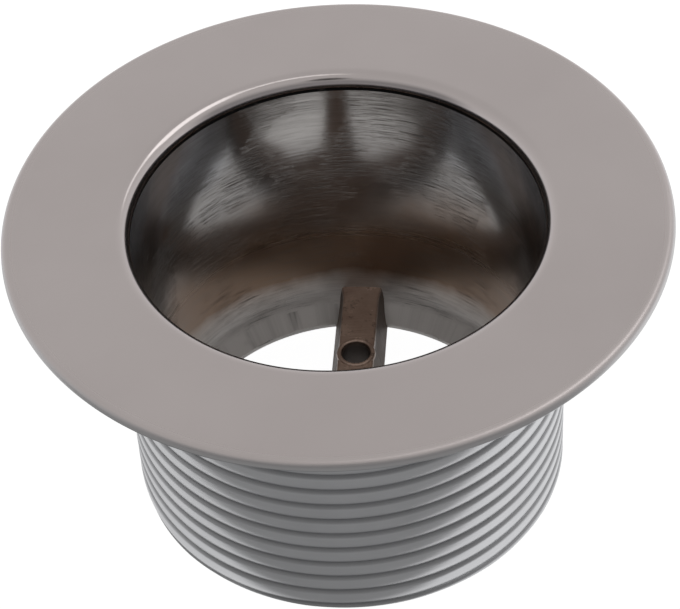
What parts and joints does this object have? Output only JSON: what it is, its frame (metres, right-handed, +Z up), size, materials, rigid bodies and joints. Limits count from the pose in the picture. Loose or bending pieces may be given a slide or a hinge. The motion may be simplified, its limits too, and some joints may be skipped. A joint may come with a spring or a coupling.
{
  "type": "bath waste",
  "caption": "Chromed bath waste: a wide flat flange over a short threaded barrel, open through the middle, with a cross of arms in its outlet.",
  "frame": {"origin": "middle of the barrel's bottom ring, on which the waste stands", "axes": "+Z up along the axis of the bore, out of the mouth; the picture was taken from the -Y side"},
  "size_m": [0.07, 0.07, 0.0361],
  "materials": {
    "chromed_brass": "bright chrome plating on the flange and mouth, duller cast surface in the bore"
  },
  "bodies": {
    "root": {"waste_body": "chromed_brass"}
  },
  "joints": []
}
